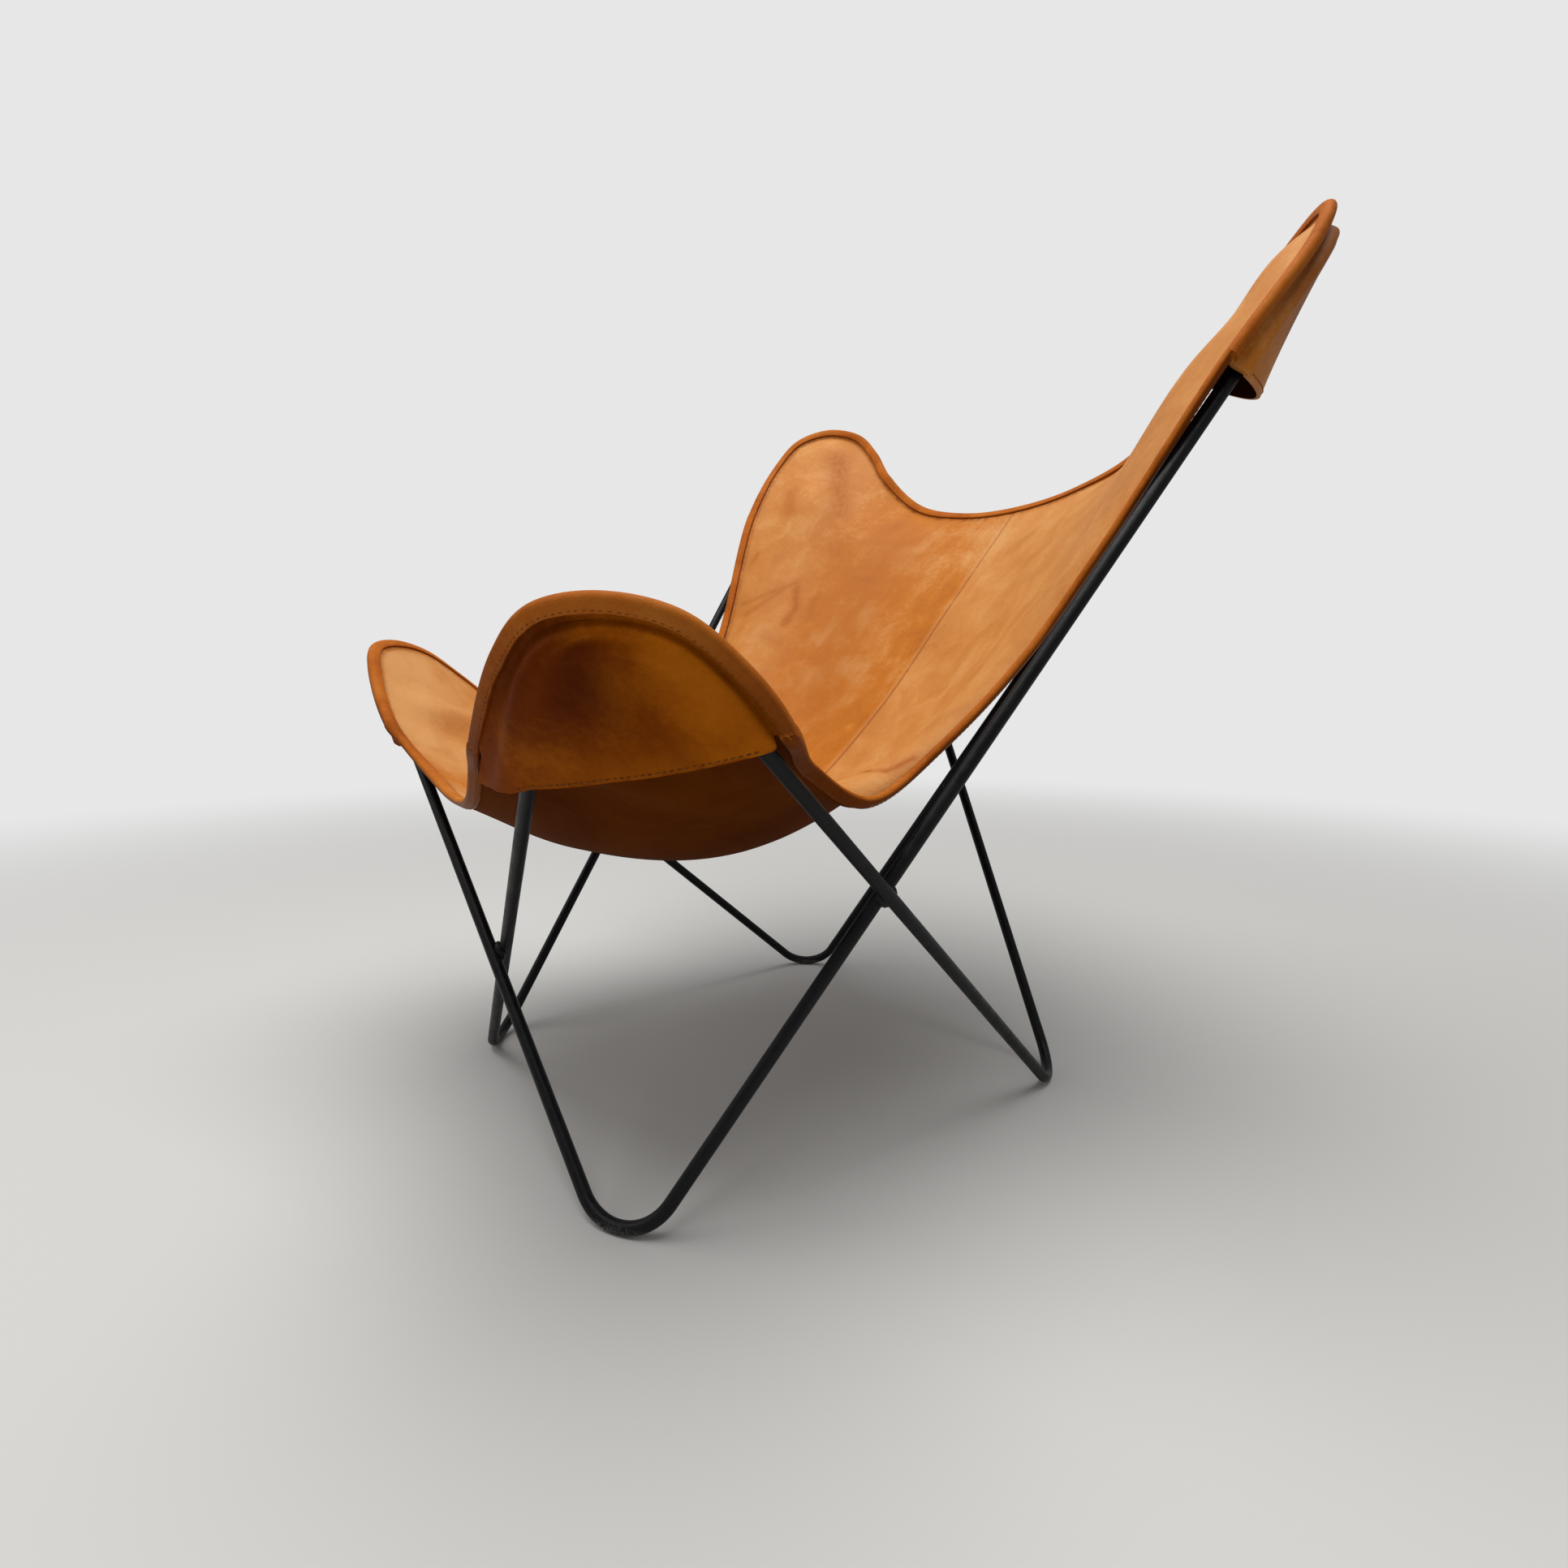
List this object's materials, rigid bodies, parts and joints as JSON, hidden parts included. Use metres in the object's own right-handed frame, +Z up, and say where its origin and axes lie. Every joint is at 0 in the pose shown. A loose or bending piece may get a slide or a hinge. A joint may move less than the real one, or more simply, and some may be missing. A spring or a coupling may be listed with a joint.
{
  "type": "butterfly sling chair",
  "caption": "Low lounge chair: two bent steel rod loops cross and are welded into a frame, and a leather sling hangs from its upturned tips by sewn pockets.",
  "frame": {"origin": "on the floor, under the middle of the chair's overall box", "axes": "+Z up, -Y towards the sitter's feet (the low front tips), +X towards the side seen in the picture"},
  "size_m": [0.8728, 0.808, 0.8878],
  "materials": {
    "frame_paint": "satin black paint on steel rod",
    "sling_leather": "mottled tan leather with a soft sheen",
    "pocket_leather": "tan leather, worn and scuffed",
    "binding_leather": "stitched tan leather strip"
  },
  "bodies": {
    "root": {"frame_loop_left": "frame_paint", "frame_loop_right": "frame_paint", "weld_front": "frame_paint", "weld_back": "frame_paint", "weld_left": "frame_paint", "weld_right": "frame_paint", "sling_panel_left": "sling_leather", "sling_panel_right": "sling_leather", "pocket_front_left": "pocket_leather", "pocket_front_right": "pocket_leather", "pocket_back_left": "pocket_leather", "pocket_back_right": "pocket_leather", "binding_front_tip_left": "binding_leather", "binding_front_tip_right": "binding_leather", "binding_back_tip_left": "binding_leather", "binding_back_tip_right": "binding_leather", "binding_front_edge_left": "binding_leather", "binding_front_edge_right": "binding_leather", "binding_side_edge_left": "binding_leather", "binding_side_edge_right": "binding_leather", "binding_back_edge_left": "binding_leather", "binding_back_edge_right": "binding_leather"}
  },
  "joints": []
}
